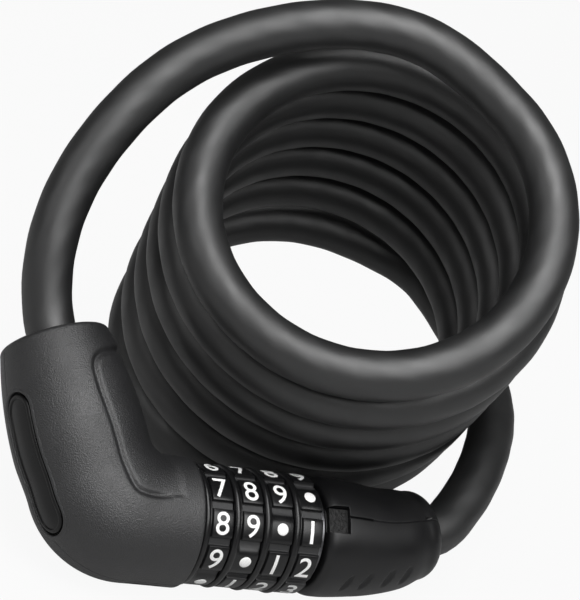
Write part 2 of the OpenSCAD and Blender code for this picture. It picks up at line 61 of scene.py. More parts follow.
AXIS_H = 15.0
CORNER = vec(-6, 0, AXIS_H)
LEG_RISE, LEG_SPLAY, LEG_LEN = radians(42), radians(15), 43.0
LEG_DIR = vec(-sin(LEG_SPLAY), cos(LEG_SPLAY) * cos(LEG_RISE), cos(LEG_SPLAY) * sin(LEG_RISE))
LEG_SIDE = vec(cos(LEG_SPLAY), sin(LEG_SPLAY) * cos(LEG_RISE), sin(LEG_SPLAY) * sin(LEG_RISE))
LEG_BACK = vec(0, sin(LEG_RISE), -cos(LEG_RISE))
HOUSING_R, ELBOW_BEND, LEG_R, LEG_FULL, MOUTH_R, MOUTH_ROUND = 15.4, 8.0, 16.2, 17.0, 13.2, 1.6
ELBOW_AT = ELBOW_BEND * tan((pi / 2 - LEG_SPLAY) / 2)
BADGE_LEN, BADGE_W, BADGE_UP, BADGE_TURN = 33.4, 8.6, 13.6, radians(80)
STACK_X, DIAL_PITCH, DIAL_W = 14.3, 7.75, 7.5
DIGITS = 10
INDEX_RISE = 33.0              # degrees from the horizontal up to the row of the index
RIM_R, PAD_R, FLOOR_R, BORE_R = 14.6, 14.2, 13.2, 11.42
END_RING_T, PLUG_GAP = 1.2, 0.5
FACE_X = STACK_X + 4 * DIAL_PITCH + END_RING_T + PLUG_GAP
TAIL_BEND_AT = 18.5            # from the plug's face to the bend of its tail
BEND = vec(FACE_X + TAIL_BEND_AT, 0, AXIS_H)
SEAM_RISE, TAIL_BEND = radians(46), radians(14)
TAIL_DIR = vec(cos(TAIL_BEND), sin(TAIL_BEND) * sin(SEAM_RISE), sin(TAIL_BEND) * cos(SEAM_RISE))
CABLE_D = 12.0

# ---------------------------------------------------------------- camera

CAM_AT = vec(-247.0, -502.0, 303.5)
CAM_AZ, CAM_EL, CAM_ROLL = radians(28.2), radians(21.8), radians(19.6)
LENS, SENSOR = 162, 36


def add_camera():
    ahead = vec(sin(CAM_AZ) * cos(CAM_EL), cos(CAM_AZ) * cos(CAM_EL), -sin(CAM_EL))
    level = vec(cos(CAM_AZ), -sin(CAM_AZ), 0)
    upright = np.cross(level, ahead)
    right = cos(CAM_ROLL) * level + sin(CAM_ROLL) * upright
    up = -sin(CAM_ROLL) * level + cos(CAM_ROLL) * upright
    data = bpy.data.cameras.new("camera")
    data.sensor_width = SENSOR
    data.lens = LENS
    data.clip_start, data.clip_end = 0.02, 50
    cam = bpy.data.objects.new("camera", data)
    m = Matrix.Identity(4)
    for col, axis in enumerate((right, up, -ahead)):
        for row in range(3):
            m[row][col] = axis[row]
    m.translation = Vector(CAM_AT * MM)
    cam.matrix_world = m
    bpy.context.collection.objects.link(cam)
    bpy.context.scene.camera = cam


add_camera()

# ---------------------------------------------------------------- cable lines, mm

HEAD_ROUTE = [vec(-20, 42, 61), vec(-17, 48, 75), vec(-9, 53, 91), vec(4, 57, 106),
              vec(23, 56, 119), vec(41, 52, 126), vec(57, 46, 127.5)]
PLUG_ROUTE = [vec(98.5, 97.5, 50.5), vec(104.5, 92.5, 48.5), vec(110.5, 80, 45),
              vec(113.5, 69.5, 39), vec(116.5, 54, 35), vec(112.5, 41, 31.5),
              vec(105, 27, 31), vec(99, 17, 27.5), vec(94, 12, 24), vec(90.5, 7.5, 21)]
COIL_AT, COIL_TURN = vec(47.5, 17, 98.7), (radians(36), radians(-18))
COIL_FROM, COIL_TO = 0.36, 6.25                # turns at which the wound part begins and ends
COIL_R, COIL_SHRINK, COIL_PITCH = 44.5, 0.35, 15.0             # the last two for each turn
COIL_START, COIL_LAST = radians(153.6), 6      # angle of turn 0, and the turn that leaves the coil


def lean_back(v):
    """A vector of the upright coil, turned to how the coil leans."""
    a, b = COIL_TURN
    v = vec(v[0], v[1] * cos(a) - v[2] * sin(a), v[1] * sin(a) + v[2] * cos(a))
    return vec(v[0] * cos(b) + v[2] * sin(b), v[1], -v[0] * sin(b) + v[2] * cos(b))


def coil_point(t):
    """A point t turns along the coil, whose axis sags and whose first and last turns tilt."""
    a = COIL_START - 2 * pi * t
    entry, leave = exp(-t / 0.8), exp((t - COIL_LAST) / 0.8)
    r = COIL_R - COIL_SHRINK * t - 14 * exp(-t / 0.4) - 0.36 * exp((t - COIL_LAST) / 0.4)
    tilt = entry * (9.6 * cos(a) + 1.6 * sin(a)) + leave * (4.3 * cos(a) - 4.8 * sin(a))
    return COIL_AT + lean_back(vec(0.2 * t - 0.14 * t * t + r * cos(a),
                                   1.0 * t - 0.09 * t * t + r * sin(a),
                                   tilt - COIL_PITCH * t))


def coil_dir(t):
    return unit(coil_point(t + 0.001) - coil_point(t - 0.001))


def leg_point(s):
    """A point on the leg's axis, s mm from the corner."""
    return CORNER + s * LEG_DIR


def tail_point(s):
    """A point on the axis of the plug's tail, s mm from its bend."""
    return BEND + s * TAIL_DIR


def smooth_line(points, d0, d1, step=2.0):
    """A cubic spline through the points, with its end directions given, in nearly even steps."""
    p = np.array(points)
    u = np.concatenate([[0], np.cumsum(np.linalg.norm(np.diff(p, axis=0), axis=1))])
    h, n = np.diff(u), len(p)
    a, b = np.zeros((n, n)), np.zeros((n, 3))
    a[0, 0], a[0, 1] = 2 * h[0], h[0]
    b[0] = 6 * ((p[1] - p[0]) / h[0] - d0)
    a[-1, -1], a[-1, -2] = 2 * h[-1], h[-1]
    b[-1] = 6 * (d1 - (p[-1] - p[-2]) / h[-1])
    for i in range(1, n - 1):
        a[i, i - 1], a[i, i], a[i, i + 1] = h[i - 1], 2 * (h[i - 1] + h[i]), h[i]
        b[i] = 6 * ((p[i + 1] - p[i]) / h[i] - (p[i] - p[i - 1]) / h[i - 1])
    m = np.linalg.solve(a, b)
    out = []
    for i in range(n - 1):
        for x in np.linspace(0, h[i], max(2, round(h[i] / step) + 1))[:-1]:
            y = h[i] - x
            out.append(m[i] * y ** 3 / (6 * h[i]) + m[i + 1] * x ** 3 / (6 * h[i])
                       + (p[i] / h[i] - m[i] * h[i] / 6) * y
                       + (p[i + 1] / h[i] - m[i + 1] * h[i] / 6) * x)
    return out + [p[-1]]


head_line = smooth_line(
    [leg_point(29), leg_point(38), leg_point(46)] + HEAD_ROUTE + [coil_point(COIL_FROM)],
    LEG_DIR, coil_dir(COIL_FROM))
STEPS_A_TURN = 130
turns = np.linspace(COIL_FROM, COIL_TO, int((COIL_TO - COIL_FROM) * STEPS_A_TURN))


def eased(route, end):
    """The route with its inner points drawn halfway towards their neighbours' middle."""
    p = np.array(route + [end])
    return route[:1] + [(p[i] + (p[i - 1] + p[i + 1]) / 2) / 2 for i in range(1, len(route))]


tail_line = smooth_line(
    eased([coil_point(COIL_TO)] + PLUG_ROUTE, tail_point(19)) + [tail_point(19), tail_point(9.5)],
    coil_dir(COIL_TO), -TAIL_DIR)
JOIN = 6                       # the point of the tail at which the plug's lead begins
JOIN_DIR = unit(tail_line[JOIN + 1] - tail_line[JOIN - 1])
main_line = head_line + [coil_point(t) for t in turns[1:]] + tail_line[1:JOIN + 1]
plug_line = tail_line[JOIN:]

STRANDS, LAY = 6, 60.0         # strands of the rope under the cover, and their lay in mm
STRAND_H = 0.08                # how far they show through the cover


def add_object(name, mesh, material=None):
    o = bpy.data.objects.new(name, mesh)
    bpy.context.collection.objects.link(o)
    if material:
        mesh.materials.append(material)
    return o


def mesh_from(bm, name):
    mesh = bpy.data.meshes.new(name)
    bm.to_mesh(mesh)
    bm.free()
    return mesh


def shade_smooth(mesh, sharp):
    """Smooth shading, except at edges sharper than so many degrees."""
    mesh.polygons.foreach_set("use_smooth", [True] * len(mesh.polygons))
    mesh.set_sharp_from_angle(angle=radians(sharp))


def bridge(bm, loops):
    """Faces from each closed loop of vertices to the next."""
    for one, two in zip(loops[:-1], loops[1:]):
        for k in range(len(one)):
            j = (k + 1) % len(one)
            bm.faces.new((one[k], one[j], two[j], two[k]))


def cable_mesh(name, line, start_s=0.0, first_side=None, first_dir=None, last_dir=None, sides=36):
    """A closed tube round the line, with the strands of the rope showing faintly. Also its last
    side and its run, from which the next tube goes on."""
    p = np.array(line)
    d = np.gradient(p, axis=0)
    d[0] = d[0] if first_dir is None else first_dir
    d[-1] = d[-1] if last_dir is None else last_dir
    d /= np.linalg.norm(d, axis=1)[:, None]
    s = start_s + np.concatenate([[0], np.cumsum(np.linalg.norm(np.diff(p, axis=0), axis=1))])
    u = vec(0, 0, 1) if first_side is None else first_side
    verts, faces = [], []
    for i in range(len(p)):
        u = unit(u - d[i] * (u @ d[i]))
        v = np.cross(d[i], u)
        for k in range(sides):
            a = 2 * pi * k / sides
            r = CABLE_D / 2 - STRAND_H * (0.5 - 0.5 * cos(STRANDS * (a - 2 * pi * s[i] / LAY)))
            verts.append((p[i] + r * (cos(a) * u + sin(a) * v)) * MM)
    n = len(p)
    for i in range(n - 1):
        for k in range(sides):
            j = (k + 1) % sides
            faces.append((i * sides + k, i * sides + j, (i + 1) * sides + j, (i + 1) * sides + k))
    faces.append(tuple(range(sides - 1, -1, -1)))
    faces.append(tuple((n - 1) * sides + k for k in range(sides)))
    mesh = bpy.data.meshes.new(name)
    mesh.from_pydata([tuple(x) for x in verts], [], faces)
    mesh.polygons.foreach_set("use_smooth", [True] * (len(faces) - 2) + [False, False])
    mesh.update()
    mesh.set_sharp_from_angle(angle=radians(50))
    return mesh, u, s[-1]


# ---------------------------------------------------------------- materials

def new_material(name):
    m = bpy.data.materials.new(name)
    m.use_nodes = True
    t = m.node_tree
    return m, t, t.nodes["Principled BSDF"]


def add_node(tree, kind, inputs=(), **settings):
    n = tree.nodes.new(kind)
    for k, v in settings.items():
        setattr(n, k, v)
    for k, v in dict(inputs).items():
        if isinstance(v, bpy.types.NodeSocket):
            tree.links.new(v, n.inputs[k])
        else:
            n.inputs[k].default_value = v
    return n


def grain(name, color, rough, grain_mm, grain_depth, rough_span=0.06, spec=0.5, specks=0.0,
          wave_mm=9.0, wave_depth=0.0, edge_mm=0.0, metal=0.0):
    """A moulded plastic or cast metal: fine grain, soft unevenness, roughness that varies and,
    where edge_mm is given, edges that catch the light as if rounded."""
    m, t, p = new_material(name)
    at = add_node(t, "ShaderNodeTexCoord").outputs["Object"]
    fine = add_node(t, "ShaderNodeTexNoise", {"Vector": at, "Scale": 1000 / grain_mm,
                                              "Detail": 2.0, "Roughness": 0.6})
    wide = add_node(t, "ShaderNodeTexNoise", {"Vector": at, "Scale": 1000 / wave_mm, "Detail": 3.0})
    p.inputs["Specular IOR Level"].default_value = spec
    p.inputs["Metallic"].default_value = metal
    span = add_node(t, "ShaderNodeMapRange", {"Value": wide.outputs["Fac"], "From Min": 0.3,
                                              "From Max": 0.7, "To Min": rough - rough_span,
                                              "To Max": rough + rough_span})
    t.links.new(span.outputs["Result"], p.inputs["Roughness"])
    tint = add_node(t, "ShaderNodeMix", {0: fine.outputs["Fac"], 6: (*[c * 0.8 for c in color], 1),
                                         7: (*[c * (1.25 + specks) for c in color], 1)},
                    data_type="RGBA")
    t.links.new(tint.outputs[2], p.inputs["Base Color"])
    b = add_node(t, "ShaderNodeBump", {"Height": fine.outputs["Fac"], "Strength": 1.0,
                                       "Distance": grain_depth * MM})
    last = b
    if wave_depth:
        last = add_node(t, "ShaderNodeBump", {"Height": wide.outputs["Fac"], "Strength": 1.0,
                                              "Distance": wave_depth * MM})
        t.links.new(last.outputs["Normal"], b.inputs["Normal"])
    if edge_mm:
        edge = add_node(t, "ShaderNodeBevel", {"Radius": edge_mm * MM}, samples=6)
        t.links.new(edge.outputs["Normal"], last.inputs["Normal"])
    t.links.new(b.outputs["Normal"], p.inputs["Normal"])
    return m


housing_mat = grain("housing_grain", (0.006, 0.006, 0.0065), 0.46, 0.32, 0.16, 0.05, 0.85, 1.6,
                    edge_mm=0.45)
badge_mat = grain("badge_gloss", (0.003, 0.003, 0.0032), 0.3, 0.5, 0.004, 0.04, 0.35)
dial_mat = grain("dial_gloss", (0.005, 0.005, 0.0055), 0.3, 0.4, 0.004)
plug_mat = grain("plug_satin", (0.004, 0.004, 0.0045), 0.42, 0.35, 0.012, edge_mm=0.3)
insert_mat = grain("insert_rough", (0.004, 0.004, 0.004), 0.6, 0.9, 0.5, 0.1, 0.4)
digit_mat = grain("digit_paint", (0.9, 0.9, 0.89), 0.4, 0.3, 0.003, 0.05, 0.4)
vinyl_mat = grain("vinyl_satin", (0.005, 0.0052, 0.0055), 0.5, 0.5, 0.006, 0.05, 1.0,
                  wave_mm=8.0, wave_depth=0.1)
steel_mat = grain("plated_steel", (0.55, 0.55, 0.56), 0.3, 0.4, 0.004, 0.08, edge_mm=0.2, metal=1.0)
ring_mat = grain("bright_ring", (0.2, 0.2, 0.21), 0.34, 0.3, 0.002, 0.04, edge_mm=0.2, metal=1.0)
core_mat = grain("cast_core", (0.42, 0.42, 0.43), 0.42, 0.5, 0.02, 0.08, edge_mm=0.2, metal=1.0)
brass_mat = grain("turned_brass", (0.6, 0.44, 0.18), 0.3, 0.3, 0.004, edge_mm=0.2, metal=1.0)
rope_mat = grain("steel_rope", (0.4, 0.4, 0.41), 0.38, 0.5, 0.03, 0.08, metal=1.0)


def matt_between_pads():
    """Makes the dials' gloss matt and paler where their mesh carries the attribute matt."""
    t = dial_mat.node_tree
    p = t.nodes["Principled BSDF"]
    matt = add_node(t, "ShaderNodeAttribute", attribute_name="matt").outputs["Fac"]
    rough = p.inputs["Roughness"].links[0].from_socket
    rougher = add_node(t, "ShaderNodeMath", {0: matt, 1: 0.28, 2: rough}, operation="MULTIPLY_ADD")
    t.links.new(rougher.outputs[0], p.inputs["Roughness"])
    color = p.inputs["Base Color"].links[0].from_socket
    paler = add_node(t, "ShaderNodeMix", {0: matt, 6: color, 7: (0.03, 0.03, 0.031, 1)},
                     data_type="RGBA")
    t.links.new(paler.outputs[2], p.inputs["Base Color"])


matt_between_pads()

LOOKS = {
    "head_shell_front": housing_mat, "head_shell_rear": housing_mat, "badge_insert": badge_mat,
    "shell_screws": steel_mat, "lock_core": core_mat, "core_pin": steel_mat,
    "detent_spring": steel_mat, "end_ring": ring_mat, "reset_slide": plug_mat,
    "head_ferrule": steel_mat, "head_rope_end": rope_mat, "plug_bolt": steel_mat,
    "plug_shell_upper": plug_mat, "plug_shell_lower": plug_mat, "plug_insert": insert_mat,
    "plug_pin": steel_mat, "plug_ferrule": steel_mat, "plug_rope_end": rope_mat,
}
for i in range(1, 5):
    LOOKS[f"dial_{i}"] = dial_mat
    LOOKS[f"clutch_{i}"] = brass_mat
for name, look in LOOKS.items():
    mesh = nodes[name].data
    mesh.materials.clear()
    mesh.materials.append(look)

# ---------------------------------------------------------------- cables

mesh, last_side, run = cable_mesh("cable_main", main_line, last_dir=JOIN_DIR)
cable_main = add_object("cable_main", mesh, vinyl_mat)
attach(cable_main, "head")
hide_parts("head_lead", "cable_coil")
mesh, _, plug_run = cable_mesh("cable_to_plug", plug_line, start_s=run, first_side=last_side,
                              first_dir=JOIN_DIR)
cable_plug = add_object("cable_to_plug", mesh, vinyl_mat)
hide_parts("plug_lead")
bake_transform(cable_plug)

# ---------------------------------------------------------------- dials

# Across a dial, from its left face: distance, radius on a pad, radius between pads, and radius
# where the pad of the dot runs on to the rim
ACROSS = [(0.0, 13.85, 13.85, 13.85), (0.12, 14.2, 14.2, 14.2), (0.4, 14.5, 14.5, 14.5),
          (0.8, RIM_R, RIM_R, RIM_R), (1.2, 14.5, 14.5, 14.5), (1.5, 14.2, 14.2, 14.32),
          (1.62, 13.8, 13.8, 14.24), (1.72, 13.6, 13.6, PAD_R), (2.0, 13.6, 13.6, PAD_R),
          (2.12, 13.95, 13.4, PAD_R), (2.3, 14.17, FLOOR_R, PAD_R), (2.5, PAD_R, FLOOR_R, PAD_R),
          (4.8, PAD_R, FLOOR_R, PAD_R), (7.1, PAD_R, FLOOR_R, PAD_R),
          (7.32, 14.15, FLOOR_R, 14.15), (7.45, 14.0, FLOOR_R, 14.0), (DIAL_W, 13.85, FLOOR_R, 13.85)]
# Round a pad, from its middle: angle in degrees, and how far up from the floor to the pad
PAD_SIDE = [(0, 1), (4.5, 1), (9, 1), (13.0, 1), (13.5, 0.93), (13.9, 0.6), (14.3, 0.1), (14.8, 0),
            (18, 0)]
DOT_TOP = [(0, 1), (4.5, 1), (7, 0.97), (10, 0.82), (13, 0.45), (15.5, 0.12), (18, 0)]
DIAL_SHARP = 34                # degrees between faces from which an edge stays sharp


def dial_sector(name, top, dotted=False):
    """One tenth of a dial, from the middle of one gap to the next, about the X axis."""
    columns = [(-a, w) for a, w in reversed(PAD_SIDE)] + top[1:]
    bm = bmesh.new()
    matt = bm.verts.layers.float.new("matt")
    loops = []
    for a, w in columns:
        loop = []
        for x, pad, floor, dot in ACROSS:
            high = dot if dotted else pad
            r = floor + w * (high - floor)
            v = bm.verts.new((x, -r * cos(radians(a)), r * sin(radians(a))))
            v[matt] = 1.0 if w < 0.2 and x > 2.2 else 0.0
            loop.append(v)
        for x in (DIAL_W, 0.0):
            loop.append(bm.verts.new((x, -BORE_R * cos(radians(a)), BORE_R * sin(radians(a)))))
        loops.append(loop)
    bridge(bm, loops)
    for v in bm.verts:
        v.co *= MM
    bmesh.ops.recalc_face_normals(bm, faces=bm.faces[:])
    return mesh_from(bm, name)


def repeat_about_barrel():
    """Copies of a sector about the barrel's axis, joined to one ring."""
    tree = bpy.data.node_groups.new("repeat_about_barrel", "GeometryNodeTree")
    face = tree.interface
    face.new_socket("Geometry", in_out="INPUT", socket_type="NodeSocketGeometry")
    for label, kind in (("Dot sector", "Object"), ("Pads", "Int"), ("First step", "Int"),
                        ("Left face", "Float"), ("Finish", "Material")):
        face.new_socket(label, in_out="INPUT", socket_type="NodeSocket" + kind)
    face.new_socket("Geometry", in_out="OUTPUT", socket_type="NodeSocketGeometry")
    into = add_node(tree, "NodeGroupInput").outputs
    turn_each = 2 * pi / DIGITS

    def ring(piece, count, first):
        line = add_node(tree, "GeometryNodeMeshLine", {"Count": count, "Offset": (0, 0, 0)})
        index = add_node(tree, "GeometryNodeInputIndex").outputs[0]
        step = add_node(tree, "ShaderNodeMath", {0: index, 1: first}, operation="ADD").outputs[0]
        angle = add_node(tree, "ShaderNodeMath", {0: step, 1: turn_each, 2: -radians(INDEX_RISE)},
                         operation="MULTIPLY_ADD").outputs[0]
        turn = add_node(tree, "ShaderNodeCombineXYZ", {"X": angle}).outputs[0]
        return add_node(tree, "GeometryNodeInstanceOnPoints",
                        {"Points": line.outputs[0], "Instance": piece, "Rotation": turn}).outputs[0]

    next_step = add_node(tree, "ShaderNodeMath", {0: into["First step"], 1: 1.0}, operation="ADD")
    dot = add_node(tree, "GeometryNodeObjectInfo", {"Object": into["Dot sector"]}).outputs["Geometry"]
    both = add_node(tree, "GeometryNodeJoinGeometry")
    tree.links.new(ring(into["Geometry"], into["Pads"], next_step.outputs[0]), both.inputs[0])
    tree.links.new(ring(dot, 1, into["First step"]), both.inputs[0])
    real = add_node(tree, "GeometryNodeRealizeInstances", {"Geometry": both.outputs[0]})
    place = add_node(tree, "ShaderNodeCombineXYZ", {"X": into["Left face"], "Z": AXIS_H * MM})
    moved = add_node(tree, "GeometryNodeTransform", {"Geometry": real.outputs[0],
                                                     "Translation": place.outputs[0]})
    whole = add_node(tree, "GeometryNodeMergeByDistance", {"Geometry": moved.outputs[0],
                                                           "Distance": 0.004 * MM})
    done = add_node(tree, "GeometryNodeSetMaterial", {"Geometry": whole.outputs[0],
                                                      "Material": into["Finish"]})
    add_node(tree, "NodeGroupOutput", {0: done.outputs[0]})
    return tree


def add_dials():
    tree = repeat_about_barrel()
    socket = {s.name: s.identifier for s in tree.interface.items_tree if s.in_out == "INPUT"}
    dot = add_object("dot_sector", dial_sector("dot_sector", DOT_TOP, dotted=True))
    for i in range(4):
        base = add_object("pad_sector", dial_sector("pad_sector", PAD_SIDE))
        mod = base.modifiers.new("ring", "NODES")
        mod.node_group = tree
        mod[socket["Dot sector"]] = dot
        mod[socket["Pads"]] = DIGITS - 1
        mod[socket["First step"]] = (-READING[i]) % DIGITS
        mod[socket["Left face"]] = (STACK_X + i * DIAL_PITCH) * MM
        mod[socket["Finish"]] = dial_mat
        bpy.context.view_layer.update()
        mesh = bpy.data.meshes.new_from_object(
            base.evaluated_get(bpy.context.evaluated_depsgraph_get()))
        bpy.data.objects.remove(base)
        mesh.name = f"dial_ring_{i + 1}"
        shade_smooth(mesh, DIAL_SHARP)
        o = add_object(mesh.name, mesh)
        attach(o, f"number_dial_{i + 1}")
        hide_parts(f"dial_{i + 1}")
    bpy.data.objects.remove(dot)


# ---------------------------------------------------------------- digits

DIGIT_H = 5.4                  # height of a digit
DIGIT_X = 4.6                  # its middle, from the dial's left face
DIGIT_FOOT, DIGIT_TOP = -0.1, 0.05             # from inside the pad to its face, above the pad
DIGIT_BOLD = 0.003             # how much the strokes are widened, in units of the font
DOT_R, DOT_H = 1.45, 0.3       # the dot that stands for nought, and how far it is domed
READING = [8, 9, 0, 1]         # digits on the row of the index


def domed_dot():
    bm = bmesh.new()
    steps = [(DOT_R, DIGIT_FOOT)]
    steps += [(DOT_R * sin(a), DOT_H * cos(a)) for a in (1.45, 1.2, 0.9, 0.6, 0.3)]
    round_it = [2 * pi * k / 32 for k in range(32)]
    rings = [[bm.verts.new((r * cos(a), r * sin(a), z)) for a in round_it] for r, z in steps]
    bridge(bm, rings)
    bm.faces.new(rings[-1])
    bm.faces.new(rings[0][::-1])
    return bm


def flat_digit(value):
    """A digit as a thin plate, upright in x and y, centred, cut into strips so that it can bend."""
    text = bpy.data.curves.new("digit", "FONT")
    text.body = str(value)
    text.resolution_u = 8
    text.offset = DIGIT_BOLD
    o = bpy.data.objects.new("digit", text)
    bpy.context.collection.objects.link(o)
    bpy.context.view_layer.update()
    mesh = bpy.data.meshes.new_from_object(o)
    bpy.data.objects.remove(o)
    bpy.data.curves.remove(text)
    bm = bmesh.new()
    bm.from_mesh(mesh)
    bpy.data.meshes.remove(mesh)
    co = np.array([v.co for v in bm.verts])
    lo, hi = co.min(0), co.max(0)
    middle, k = (lo + hi) / 2, DIGIT_H / (hi[1] - lo[1])
    for v in bm.verts:
        v.co = Vector(((v.co.x - middle[0]) * k, (v.co.y - middle[1]) * k, DIGIT_FOOT))
    bmesh.ops.remove_doubles(bm, verts=bm.verts, dist=1e-4)
    for y in np.arange(-3.0, 3.0, 0.6):
        bmesh.ops.bisect_plane(bm, geom=bm.verts[:] + bm.edges[:] + bm.faces[:],
                               plane_co=(0, y, 0), plane_no=(0, 1, 0))
    bmesh.ops.triangulate(bm, faces=bm.faces[:])
    top = bmesh.ops.extrude_face_region(bm, geom=bm.faces[:])
    for v in [e for e in top["geom"] if isinstance(e, bmesh.types.BMVert)]:
        v.co.z = DIGIT_TOP
    return bm


def add_digits(i):
    """All ten digits of dial i, bent round its pads."""
    whole = bmesh.new()
    for value in range(DIGITS):
        bm = domed_dot() if value == 0 else flat_digit(value)
        rise0 = radians(INDEX_RISE - 360 / DIGITS * ((value - READING[i]) % DIGITS))
        x0 = STACK_X + i * DIAL_PITCH + DIGIT_X
        for v in bm.verts:
            rise, r = rise0 + v.co.y / PAD_R, PAD_R + v.co.z
            v.co = Vector((x0 + v.co.x, -r * cos(rise), AXIS_H + r * sin(rise))) * MM
        tmp = bpy.data.meshes.new("tmp")
        bm.to_mesh(tmp)
        whole.from_mesh(tmp)
        bpy.data.meshes.remove(tmp)
        bm.free()
    bmesh.ops.recalc_face_normals(whole, faces=whole.faces[:])
    mesh = mesh_from(whole, f"digits_{i + 1}")
    shade_smooth(mesh, DIAL_SHARP)
    o = add_object(mesh.name, mesh, digit_mat)
    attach(o, f"number_dial_{i + 1}")


add_dials()
for i in range(4):
    add_digits(i)

# ---------------------------------------------------------------- housing

FAN = 24.0                     # from the corner to the line through which the bend's sections pass
INNER_FILLET = 5.0             # softness of the crease inside the elbow
CORE_BORE, FERRULE_R, CABLE_HOLE = 10.65, 7.2, 6.2
CORE_FROM, FERRULE_FROM, CABLE_FROM = 4.0, 17.0, 29.0
SCREWS = [(-10.3, 34.0), (10.3, 34.0), (-7.5, -2.5)]
SCREW_HEAD_R, SCREW_HEAD_AT = 1.9, -3.2
# The groove round the saddle, in the elbow's plane: along the barrel, up the leg and across
SADDLE_EDGE = [(18, 1.0), (10, 1.0), (5.5, 1.0), (3.0, 1.8), (1.3, 4.2), (0.1, 7.2), (-1.3, 11.4),
               (-2.6, 15.4), (-4.1, 19.7), (-5.5, 23.8), (-6.6, 28.0), (-6.9, 30.9), (-6.3, 32.8),
               (-5.0, 34.2), (-3.0, 35.4), (1.0, 37.4), (6.0, 39.6), (14.0, 43.0)]
GROOVE_W, GROOVE_DEEP, SADDLE_DEEP = 0.7, 0.95, 0.4
# The shallow slot underneath
TAB_FROM, TAB_TO, TAB_TURN, TAB_HALF, TAB_DEEP = 7.5, 15.5, radians(-168), 1.7, 0.6
PARTING_DEEP, PARTING_HALF = 0.12, 0.2         # the faint groove where the halves meet
BADGE_DEEP = 2.0                               # the badge's recess, under the insert
SLIDE_AT, SLIDE_SLOT = (6.2, 0.0, 0.45), (7.6, 4.0, 4.9)       # middle and size of the slide's slot


def soft_step(v, lo, hi):
    u = np.clip((v - lo) / (hi - lo), 0, 1)
    return u * u * (3 - 2 * u)


def leg_radii(s):
    """Radius of the leg: it swells to LEG_FULL and narrows to the mouth."""
    up = HOUSING_R + (LEG_R - HOUSING_R) * soft_step(s, ELBOW_AT, LEG_FULL)
    to_mouth = np.clip((s - LEG_FULL) / (LEG_LEN - MOUTH_ROUND - LEG_FULL), 0, 2)
    return up - (LEG_R - MOUTH_R) * to_mouth ** 2


def along_leg(x, y):
    """How far up the leg and how far to its side a point of the elbow's plane lies."""
    return cos(LEG_SPLAY) * y - sin(LEG_SPLAY) * x, cos(LEG_SPLAY) * x + sin(LEG_SPLAY) * y


def outside_housing(x, y, z):
    """How far points of the elbow's frame lie outside barrel, bend and leg."""
    s, side = along_leg(x, y)
    barrel = np.sqrt(np.minimum(x - ELBOW_AT, 0) ** 2 + y * y + z * z) - HOUSING_R
    leg = np.sqrt(np.minimum(s - ELBOW_AT, 0) ** 2 + side * side + z * z) - leg_radii(s)
    bend = np.hypot(np.hypot(x - ELBOW_AT, y - ELBOW_BEND) - ELBOW_BEND, z) - HOUSING_R
    turn = np.arctan2(ELBOW_AT - x, ELBOW_BEND - y)
    bend = np.where((turn >= 0) & (turn <= pi / 2 - LEG_SPLAY), bend, 99.0)
    near = np.maximum(INNER_FILLET - np.abs(barrel - leg), 0)
    return np.minimum(np.minimum(barrel, leg) - near * near / (4 * INNER_FILLET), bend)


def cast_out(centre, dx, dy, dz):
    """Radius at which rays from the sections' centres leave the housing."""
    lo, hi = np.full(dz.shape, 4.0), np.full(dz.shape, 30.0)
    for _ in range(34):
        mid = (lo + hi) / 2
        out = outside_housing(centre[:, :1] + mid * dx, centre[:, 1:] + mid * dy, mid * dz) > 0
        lo, hi = np.where(out, lo, mid), np.where(out, mid, hi)
    return lo


def saddle_depth(x, y, z):
    """Depth of the saddle and its groove below the front of the housing."""
    edge = np.array([q[:2] for q in smooth_line([vec(*q, 0) for q in SADDLE_EDGE],
                                                vec(-1, 0, 0), vec(0.92, 0.39, 0), 0.5)])
    a, b = edge[:-1], edge[1:]
    ab = b - a
    best, side = np.full(x.shape, 99.0), np.zeros(x.shape)
    for (ax, ay), (bx, by) in zip(a, ab):
        u = np.clip(((x - ax) * bx + (y - ay) * by) / (bx * bx + by * by), 0, 1)
        px, py = x - ax - u * bx, y - ay - u * by
        d = np.hypot(px, py)
        closer = d < best
        best = np.where(closer, d, best)
        side = np.where(closer, np.sign(py * bx - px * by), side)
    inside = -best * side
    groove = GROOVE_DEEP * np.exp(-(best / GROOVE_W) ** 2) * (1 - soft_step(x, 7.0, 14.0))
    saddle = SADDLE_DEEP * soft_step(inside, -0.4, 0.8) * (1 - soft_step(x, 13.2, 15.6))
    return (groove + saddle) * soft_step(z, 0.5, 4.5)


def badge_depth(x, y, z):
    """Depth of the badge's recess, whose edge lies under the lip."""
    s, side = along_leg(x, y)
    c, k = cos(3 * pi / 2 - BADGE_TURN), sin(3 * pi / 2 - BADGE_TURN)
    across, outward = -side * k - z * c, side * c - z * k
    half = (BADGE_LEN - BADGE_W) / 2
    d = np.hypot(np.maximum(np.abs(s - BADGE_UP) - half, 0), across) - BADGE_W / 2
    return np.where(outward > 0, BADGE_DEEP * (1 - soft_step(d, 0.6, 1.15)), 0)


def tab_slot_depth(x, y, z):
    """Depth of the shallow slot under the barrel's end."""
    turn = np.arctan2(z, y) - TAB_TURN
    across = HOUSING_R * np.arctan2(np.sin(turn), np.cos(turn))
    d = np.maximum(np.abs(x - (TAB_FROM + TAB_TO) / 2) - (TAB_TO - TAB_FROM) / 2,
                   np.abs(across) - TAB_HALF)
    return TAB_DEEP * (1 - soft_step(d, -0.4, 0.1))


